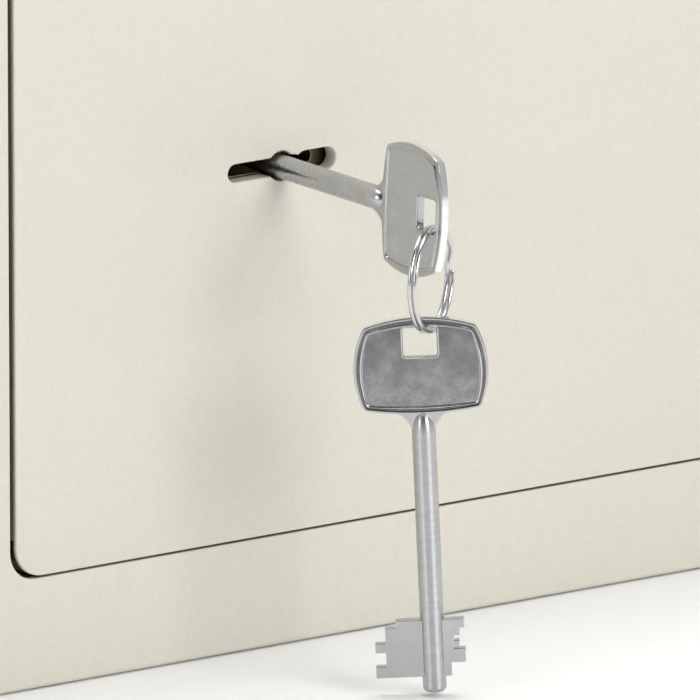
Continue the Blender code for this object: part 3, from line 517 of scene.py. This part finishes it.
def keyhole_line(grow):
    """The keyhole's outline, grown by an amount: left slot, round middle and taller right slot."""
    shapes = [(x0 * MM, x1 * MM, radius * MM) for x0, x1, radius in KEYHOLE_PARTS]
    left = shapes[0][0] - grow
    right = shapes[2][1] + grow

    def half_height(x):
        best = 0
        for x0, x1, radius in shapes:
            grown = radius + grow
            middle_low, middle_high = x0 - grow + grown, x1 + grow - grown
            off = max(middle_low - x, x - middle_high, 0)
            if off < grown:
                best = max(best, math.sqrt(grown * grown - off * off))
        return best

    upper = []
    for i in range(1, KEYHOLE_POINTS):
        x = (left + right) / 2 - (right - left) / 2 * math.cos(math.pi * i / KEYHOLE_POINTS)
        upper.append((KEY_X + x, KEY_Z + half_height(x)))
    lower = [(x, 2 * KEY_Z - z) for x, z in reversed(upper)]
    return [(KEY_X + left, KEY_Z)] + upper + [(KEY_X + right, KEY_Z)] + lower


def build_door_skin(paint):
    """The door's front: softened rim and a punched keyhole with a softened lip."""
    bm = bmesh.new()

    def ring(line, depth):
        return [bm.verts.new(front(x, z, depth)) for x, z in line]

    def skin(rings):
        for first, second in zip(rings, rings[1:]):
            for i, vert in enumerate(first):
                bm.faces.new((first[i - 1], vert, second[i], second[i - 1]))

    def outline(inset):
        half_w = DOOR_HALF_W + FREE_EDGE_LAP / 2 - inset
        centre = (-FREE_EDGE_LAP / 2, MIDDLE_Z)
        return rounded_rect(half_w, DOOR_HALF_H - inset, DOOR_ROUND - inset, centre)

    outer = []
    for i in range(9):
        angle = math.pi / 2 * i / 8
        inset = DOOR_EDGE_ROUND * (1 - math.sin(angle))
        outer.append(ring(outline(inset), DOOR_EDGE_ROUND * (1 - math.cos(angle))))
    outer.append(ring(outline(0), DOOR_SHEET))
    outer.append(ring(outline(DOOR_SHEET_OVERHANG), DOOR_SHEET))
    outer.append(ring(outline(DOOR_SHEET_OVERHANG), DOOR_PLATE))
    skin(outer)
    mouth = []
    for i in range(5):
        angle = math.pi / 2 * i / 4
        grown = KEYHOLE_LIP * (1 - math.sin(angle))
        mouth.append(ring(keyhole_line(grown), KEYHOLE_LIP * (1 - math.cos(angle))))
    wall = [mouth[-1], ring(keyhole_line(0), SHEET), ring(keyhole_line(0), DOOR_PLATE)]
    skin(mouth)
    skin(wall)
    for line_a, line_b in ((outer[0], mouth[0]), (outer[-1], wall[-1])):
        edges = []
        for line in (line_a, line_b):
            for pair in zip(line, line[1:] + line[:1]):
                edges.append(bm.edges.get(pair) or bm.edges.new(pair))
        bmesh.ops.triangle_fill(bm, edges=edges, use_beauty=True)
    door = mesh_object("door_skin", bm, [paint], 40)
    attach(door, "door")
    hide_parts("door_plate")


def build_door_rim(paint):
    """The four folded flanges behind the door's front, with the bolt's hole and the hinge pins' holes."""
    near = FRONT_Y + DOOR_SHEET - FLANGE_INTO_SHEET
    far = FRONT_Y + PAN_DEPTH
    tall = DOOR_HALF_H - CORNER_NOTCH
    wide = DOOR_HALF_W - FLANGE_SHORTER
    bolt_hole = turned(
        "bolt_hole_tool",
        [(BOLT_HOLE_R, 0), (BOLT_HOLE_R, 8 * MM)],
        front(-DOOR_HALF_W - 3 * MM, KEY_Z - BOLT_DROP, BOLT_DEPTH),
        (1, 0, 0),
        [],
        64,
    )
    for hand, way in (("left", -1), ("right", 1)):
        ends = sorted((way * (DOOR_HALF_W - FLANGE_INSET), way * (DOOR_HALF_W - SHEET)))
        low = (ends[0], near, MIDDLE_Z - tall)
        high = (ends[1], far, MIDDLE_Z + tall)
        flange = block(f"door_flange_{hand}", low, high, [paint], FLANGE_ROUND)
        if way < 0:
            with_booleans(flange, (bolt_hole, "DIFFERENCE"))
        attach(flange, "door")
    for end, way in (("bottom", -1), ("top", 1)):
        outer_z = MIDDLE_Z + way * (DOOR_HALF_H - FLANGE_INSET)
        inner_z = MIDDLE_Z + way * (DOOR_HALF_H - SHEET)
        ends = sorted((outer_z, inner_z))
        low = (-wide, near, ends[0])
        high = (wide, far, ends[1])
        flange = block(f"door_flange_{end}", low, high, [paint], FLANGE_ROUND)
        hole_start = front(HINGE_X, ends[0] - MM, HINGE_DEPTH)
        hole_profile = [(PIN_HOLE_R, 0), (PIN_HOLE_R, 6 * MM)]
        hole = turned("pin_hole_tool", hole_profile, hole_start, (0, 0, 1), [])
        with_booleans(flange, (hole, "DIFFERENCE"))
        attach(flange, "door")


# Keys: local Z runs from tip to bow with its zero at the bow's end, and the long bit points to -X


def key_plane(x, t, y):
    """A point of a key outline: across, distance from the bow's end, and thickness."""
    return Vector((x, y, -t))


def arc_through(start, middle, end, low, high, steps):
    """Points on the circle through three points, between two shares of the way from start to end."""
    ax, ay = start
    bx, by = middle
    cx, cy = end
    d = 2 * (ax * (by - cy) + bx * (cy - ay) + cx * (ay - by))
    a2, b2, c2 = ax * ax + ay * ay, bx * bx + by * by, cx * cx + cy * cy
    ux = (a2 * (by - cy) + b2 * (cy - ay) + c2 * (ay - by)) / d
    uy = (a2 * (cx - bx) + b2 * (ax - cx) + c2 * (bx - ax)) / d
    radius = math.hypot(ax - ux, ay - uy)
    a0 = math.atan2(ay - uy, ax - ux)
    a1 = math.atan2(cy - uy, cx - ux)
    sweep = (a1 - a0 + math.pi) % (2 * math.pi) - math.pi
    points = []
    for i in range(steps + 1):
        angle = a0 + sweep * (low + (high - low) * i / steps)
        points.append(Vector((ux + radius * math.cos(angle), uy + radius * math.sin(angle))))
    return points


def bow_outline(inset):
    """The barrel-shaped bow, drawn in from its edge by inset, with rounded corners."""
    ox, ot = BOW_CORNER_OUTER[0] - 0.5 * inset, BOW_CORNER_OUTER[1] + 0.75 * inset
    ix, it = BOW_CORNER_INNER[0] - 0.5 * inset, BOW_CORNER_INNER[1] - 0.55 * inset
    side_x = BOW_HALF_W - inset
    middle = BOW_LENGTH / 2
    spans = [
        ((-ox, ot), (0, inset), (ox, ot), 28),
        ((ox, ot), (side_x, middle), (ix, it), 20),
        ((ix, it), (0, BOW_LENGTH - inset), (-ix, it), 28),
        ((-ix, it), (-side_x, middle), (-ox, ot), 20),
    ]
    arcs = []
    for start, through, end, steps in spans:
        share = BOW_CORNER_ROUND / math.dist(start, end)
        arcs.append(arc_through(start, through, end, share, 1 - share, steps))
    points = []
    for arc, following, span in zip(arcs, arcs[1:] + arcs[:1], spans):
        points += arc[:-1]
        before, after, tip = arc[-1], following[0], Vector(span[2])
        for i in range(6):
            t = i / 6
            points.append(before * (1 - t) ** 2 + tip * 2 * t * (1 - t) + after * t * t)
    return [tuple(point) for point in points]


def bit_outline():
    """Both stepped bits as one outline across the stem."""
    start = KEY_LENGTH - TIP_BEYOND_BITS - BIT_LENGTH
    outline = []
    for steps, way in ((LONG_BIT_STEPS, -1), (SHORT_BIT_STEPS, 1)):
        edge = []
        ends = [t for t, _ in steps[1:]] + [BIT_LENGTH / MM]
        for (t, radius), end in zip(steps, ends):
            edge += [(way * radius * MM, start + t * MM), (way * radius * MM, start + end * MM)]
        outline += edge if way < 0 else edge[::-1]
    return outline


def hole_outline(grow):
    centre = (0, HOLE_BORDER + HOLE_HALF_H)
    return rounded_rect(HOLE_HALF_W + grow, HOLE_HALF_H + grow, HOLE_ROUND + grow, centre, 6)


def build_key_mesh(looks):
    """The key's mesh with its looks: rim and bits, panel, stem, groove in the rim, and outer edge."""
    section = [(inset * MM, y * MM) for inset, y in BOW_SECTION]
    loops = [[key_plane(x, t, -y) for x, t in bow_outline(inset)] for inset, y in section]
    loops += [[key_plane(x, t, y) for x, t in bow_outline(inset)] for inset, y in reversed(section)]
    key = lofted("key_blank", loops, looks, cap_look=PANEL_LOOK)
    insets = [inset for inset, _ in section]
    insets += insets[::-1]
    for face in key.data.polygons:
        ring = face.index // len(loops[0])
        if ring + 1 < len(insets):
            middle = (insets[ring] + insets[ring + 1]) / 2
            if GROOVE_FROM < middle < GROOVE_TO:
                face.material_index = GROOVE_LOOK
            elif middle < OUTER_EDGE_TO:
                face.material_index = OUTER_EDGE_LOOK

    border = []
    for grow, y in HOLE_RAISED_BORDER:
        border.append([key_plane(x, t, y * MM) for x, t in hole_outline(grow * MM)])
    border = lofted("key_border", border, looks)

    stem_from = BOW_LENGTH - STEM_INTO_BOW
    run = KEY_LENGTH - stem_from
    profile = [(radius * MM, height * MM) for radius, height in STEM_SHOULDER]
    profile += [(radius * MM, run - before * MM) for radius, before in STEM_TIP]
    stem = turned("key_stem", profile, Vector((0, 0, -stem_from)), (0, 0, -1), looks, 56)
    for face in stem.data.polygons:
        face.material_index = STEM_LOOK

    neck = [(-8.5 * MM, BOW_LENGTH - 1.4 * MM)]
    for i in range(13):
        angle = math.pi / 2 * i / 12
        spread = 2.55 * MM + 4.6 * MM * (1 - math.sin(angle))
        neck.append((-spread, BOW_LENGTH - 0.55 * MM + 5.2 * MM * (1 - math.cos(angle))))
    neck += [(-x, t) for x, t in reversed(neck)]
    web = prism("key_neck", neck, -0.72 * BOW_HALF, 0.72 * BOW_HALF, key_plane, looks, 0.3 * MM)
    bits = prism("key_bits", bit_outline(), -BIT_HALF, BIT_HALF, key_plane, looks, 0.14 * MM)

    hole = []
    for grow, y in HOLE_CHAMFER:
        hole.append([key_plane(x, t, -BOW_HALF - y * MM) for x, t in hole_outline(grow * MM)])
    hole += [[Vector((point.x, -point.y, point.z)) for point in line] for line in reversed(hole)]
    hole = lofted("key_hole", hole, looks)
    steps = ((border, "UNION"), (stem, "UNION"), (web, "UNION"), (bits, "UNION"), (hole, "DIFFERENCE"))
    mesh = with_booleans(key, *steps).data
    bpy.data.objects.remove(key, do_unlink=True)
    return mesh


def frame_of(x_axis, z_axis, origin):
    """A placement from two square directions and a point."""
    x_axis = Vector(x_axis).normalized()
    z_axis = Vector(z_axis).normalized()
    y_axis = z_axis.cross(x_axis)
    turn = Matrix((x_axis, y_axis, z_axis)).transposed().to_4x4()
    return Matrix.Translation(origin) @ turn


def split_ring(look):
    """Nearly two turns of polished wire that step from one coil to the other between the wire's ends."""
    loops = []
    for i in range(WIRE_STEPS + 1):
        angle = WIRE_START + (WIRE_END - WIRE_START) * i / WIRE_STEPS
        share = (angle - COIL_CHANGE_START) / (COIL_CHANGE_END - COIL_CHANGE_START)
        share = min(max(share, 0), 1)
        share = share * share * (3 - 2 * share)
        from_end = min(i, WIRE_STEPS - i)
        thick = (WIRE_R - WIRE_POLISH) * (0.72 + 0.28 * min(from_end / 2, 1))
        out = Vector((math.cos(angle), 0, math.sin(angle)))
        centre = out * RING_R + Vector((0, COIL_STEP * (0.5 - share), 0))
        turns = [2 * math.pi * (j + 0.5) / WIRE_SIDES for j in range(WIRE_SIDES)]
        loops.append([centre + thick * (out * math.cos(t) + Vector((0, math.sin(t), 0))) for t in turns])
    return lofted("ring_wire", loops, [look])


def build_keys(lock_key_looks, spare_key_looks, wire):
    mesh = build_key_mesh(lock_key_looks)
    spare_mesh = mesh.copy()
    for i, look in enumerate(spare_key_looks):
        spare_mesh.materials[i] = look

    def key_object(name, mesh, place, body, node):
        key = bpy.data.objects.new(name, mesh)
        bpy.context.scene.collection.objects.link(key)
        key.matrix_world = place
        even = key.modifiers.new("even_shading", "WEIGHTED_NORMAL")
        even.keep_sharp = True
        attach(key, body)
        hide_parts(node)

    outward = Vector((0, -math.cos(KEY_SAG), -math.sin(KEY_SAG)))
    bow_end = front(KEY_X, KEY_Z, KEY_SAG_DEPTH) + outward * (KEY_STANDS_OUT + KEY_SAG_DEPTH)
    lean = Matrix.Rotation(-KEY_LEAN, 3, outward)
    up = lean @ Vector((0, -math.sin(KEY_SAG), math.cos(KEY_SAG)))
    key_object("turned_lock_key", mesh, frame_of(up, outward, bow_end), "turned_key", "lock_key")

    hole = bow_end - outward * (HOLE_BORDER + HOLE_HALF_H)
    wire_top = hole + outward * RING_SIDE - up * (HOLE_HALF_W - WIRE_R - RING_HOLE_CLEARANCE)
    ring_centre = wire_top - Vector((0, 0, RING_R))
    along = (math.cos(RING_YAW), math.sin(RING_YAW), 0)
    ring = split_ring(wire)
    ring.matrix_world = frame_of(along, (0, 0, 1), ring_centre)
    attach(ring, "split_ring")
    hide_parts("key_ring")

    back_along = RING_R * math.sin(SPARE_HANGS_BEFORE_LOW)
    drop = RING_R * math.cos(SPARE_HANGS_BEFORE_LOW)
    hang_point = ring_centre - back_along * Vector(along) - Vector((0, 0, drop))
    across = Vector((math.cos(SPARE_YAW), math.sin(SPARE_YAW), 0))
    tilt = Matrix.Rotation(SPARE_TILT, 3, Vector((0, 0, 1)).cross(across))
    rise = tilt @ Vector((0, 0, 1))
    across = tilt @ across
    top = hang_point + rise * (WIRE_R + SPARE_CLEARANCE + HOLE_BORDER) - across * SPARE_SIDE
    key_object("hanging_spare_key", spare_mesh, frame_of(across, rise, top), "hanging_key", "spare_key")


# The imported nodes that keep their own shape


def dress_nodes(looks_of):
    for name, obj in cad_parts.items():
        if obj.hide_render:
            continue
        look, soften = looks_of(name)
        obj.data.materials.clear()
        obj.data.materials.append(look)
        weld = obj.modifiers.new("weld", "WELD")
        weld.merge_threshold = 0.002 * MM
        if soften:
            bevel = obj.modifiers.new("soft_edges", "BEVEL")
            bevel.width = soften
            bevel.segments = 2
            bevel.limit_method = "ANGLE"
            bevel.angle_limit = math.radians(40)
            bevel.use_clamp_overlap = True


# Stage


def area(name, place, aim, size, power):
    light = bpy.data.lights.new(name, "AREA")
    light.shape = "RECTANGLE"
    light.size, light.size_y = size
    light.energy = power
    obj = bpy.data.objects.new(name, light)
    bpy.context.scene.collection.objects.link(obj)
    obj.location = place
    obj.rotation_euler = (Vector(aim) - Vector(place)).to_track_quat("-Z", "Y").to_euler()


def build_stage():
    nodes = Nodes("studio_floor")
    clouds = nodes.remap(nodes.noise(3, 2), 0.3, 0.7, 0, 1)
    tone = nodes.mix(clouds, (0.90, 0.90, 0.90), (0.93, 0.93, 0.93))
    normal = nodes.bump(nodes.noise(300, 2), 0.02, 0.2 * MM)
    roughness = nodes.remap(nodes.noise(12, 2), 0.3, 0.7, 0.6, 0.75)
    look = nodes.finish(tone, roughness, 0, normal)
    bm = bmesh.new()
    bmesh.ops.create_circle(bm, cap_ends=True, radius=FLOOR_R, segments=96)
    bmesh.ops.translate(bm, verts=bm.verts[:], vec=(0, 0, -FLOOR_DROP))
    floor = mesh_object("studio_floor", bm, [look])

    world = bpy.data.worlds.new("studio")
    bpy.context.scene.world = world
    nodes = Nodes("studio", world)
    output = nodes.add("ShaderNodeOutputWorld")
    seen = nodes.add("ShaderNodeBackground")
    seen.inputs["Strength"].default_value = WORLD_TO_CAMERA
    around = nodes.add("ShaderNodeBackground")
    around.inputs["Strength"].default_value = WORLD_TO_OBJECT
    facing = nodes.add("ShaderNodeVectorMath")
    facing.operation = "DOT_PRODUCT"
    facing.inputs[1].default_value = DARK_SIDE
    nodes.join(nodes.place, facing.inputs[0])
    shade = nodes.remap(facing.outputs["Value"], 0.76, 0.93, 0, 1)
    tone = nodes.mix(shade, (1, 1, 1), DARK_TONE)
    nodes.join(tone, around.inputs["Color"])
    path = nodes.add("ShaderNodeLightPath")
    choose = nodes.add("ShaderNodeMixShader")
    nodes.join(path.outputs["Is Camera Ray"], choose.inputs["Fac"])
    nodes.join(around.outputs["Background"], choose.inputs[1])
    nodes.join(seen.outputs["Background"], choose.inputs[2])
    nodes.join(choose.outputs["Shader"], output.inputs["Surface"])

    for light in LIGHTS:
        area(*light)


def build_camera():
    data = bpy.data.cameras.new("view")
    data.sensor_width = SENSOR_WIDTH
    data.lens = CAMERA_LENS
    data.clip_start = 0.1
    data.clip_end = 100
    camera = bpy.data.objects.new("view", data)
    bpy.context.scene.collection.objects.link(camera)
    flat = math.cos(CAMERA_RISE)
    back = Vector((-math.sin(CAMERA_TURN) * flat, -math.cos(CAMERA_TURN) * flat, math.sin(CAMERA_RISE)))
    camera.location = Vector(CAMERA_AIM) + CAMERA_DISTANCE * back
    level = (-back).to_track_quat("-Z", "Y").to_matrix()
    camera.rotation_euler = (level @ Matrix.Rotation(CAMERA_ROLL, 3, "Z")).to_euler()
    bpy.context.scene.camera = camera
    bpy.context.scene.view_settings.view_transform = "Standard"


def main():
    paint = powder_coat("cream_paint", (0.715, 0.695, 0.605), (0.695, 0.675, 0.585))
    inner_paint = powder_coat("inner_cream_paint", (0.71, 0.69, 0.60), (0.68, 0.66, 0.57), 0.4)
    zinc = plated_metal(
        "zinc_steel", (0.56, 0.56, 0.55), (0.44, 0.44, 0.43), (0.24, 0.42), grain=(1, 1, 0.25)
    )
    brass = plated_metal(
        "lever_brass", (0.73, 0.55, 0.26), (0.60, 0.43, 0.19), (0.22, 0.4), grain=(1, 0.2, 1)
    )
    nickel = plated_metal(
        "nickel",
        (0.49, 0.49, 0.50),
        (0.42, 0.42, 0.43),
        (0.16, 0.26),
        grain=(1, 1, 0.2),
        speck=0.2,
        edge=0.55,
        edge_gain=1.8,
    )
    wire = plated_metal(
        "ring_nickel", (0.62, 0.62, 0.63), (0.54, 0.54, 0.55), (0.14, 0.22), speck=0.07
    )
    drawn = turned_nickel("stem_nickel")
    satin = plated_metal(
        "satin_stem",
        (0.51, 0.515, 0.545),
        (0.46, 0.465, 0.49),
        (0.25, 0.31),
        grain=(1, 1, 0.2),
        speck=0.06,
    )
    # The key's outer edge band: polished nickel made far brighter than the rest of the key, as painted
    # highlight.
    edge = plated_metal(
        "polished_edge_and_painted_highlight", (0.88, 0.88, 0.89), (0.78, 0.78, 0.79), (0.12, 0.22), speck=0.1
    )
    # The spare key's groove in the rim: a dark nickel as painted shade.
    groove = plated_metal(
        "groove_painted_shade", (0.20, 0.20, 0.205), (0.13, 0.13, 0.135), (0.25, 0.35), edge=0.2
    )
    # The lock cover seen through the keyhole: a dark olive tone as painted shade, and edges brightened
    # sixfold as painted highlight.
    painted_shade_cover = plated_metal(
        "cover_painted_shade_and_rim_highlight", (0.15, 0.135, 0.08), (0.09, 0.08, 0.045), (0.3, 0.45), edge=1, edge_gain=6
    )
    panel = cast_panel("bow_panel", (0.53, 0.54, 0.59), (0.50, 0.51, 0.555), 0.25)
    # The spare's panel: darker nickel with full-strength painted shade towards the bow's end and worn
    # patches.
    worn_and_shaded_panel = cast_panel("worn_and_shaded_bow_panel", (0.39, 0.39, 0.395), (0.27, 0.27, 0.275), 1)
    seal = seal_look()
    filling = filling_look()

    build_casing(paint)
    build_door_skin(paint)
    build_door_rim(inner_paint)
    lock_key_looks = [nickel, panel, satin, nickel, edge]
    spare_key_looks = [nickel, worn_and_shaded_panel, drawn, groove, edge]
    build_keys(lock_key_looks, spare_key_looks, wire)

    def looks_of(name):
        if name.startswith("filling_") or name in ("door_filling", "plug_filling"):
            return filling, 0.8 * MM
        if name in ("door_jamb", "inner_liner", "door_inner_pan", "back_panel"):
            return inner_paint, 0.35 * MM
        if name == "fire_seal":
            return seal, 0.3 * MM
        if name.removeprefix("lever_").isdigit():
            return brass, 0.12 * MM
        # The lock cover gets the painted shade and rim highlight look.
        if name == "lock_cover":
            return painted_shade_cover, 0.25 * MM
        return zinc, 0.2 * MM

    dress_nodes(looks_of)
    build_stage()
    build_camera()


main()
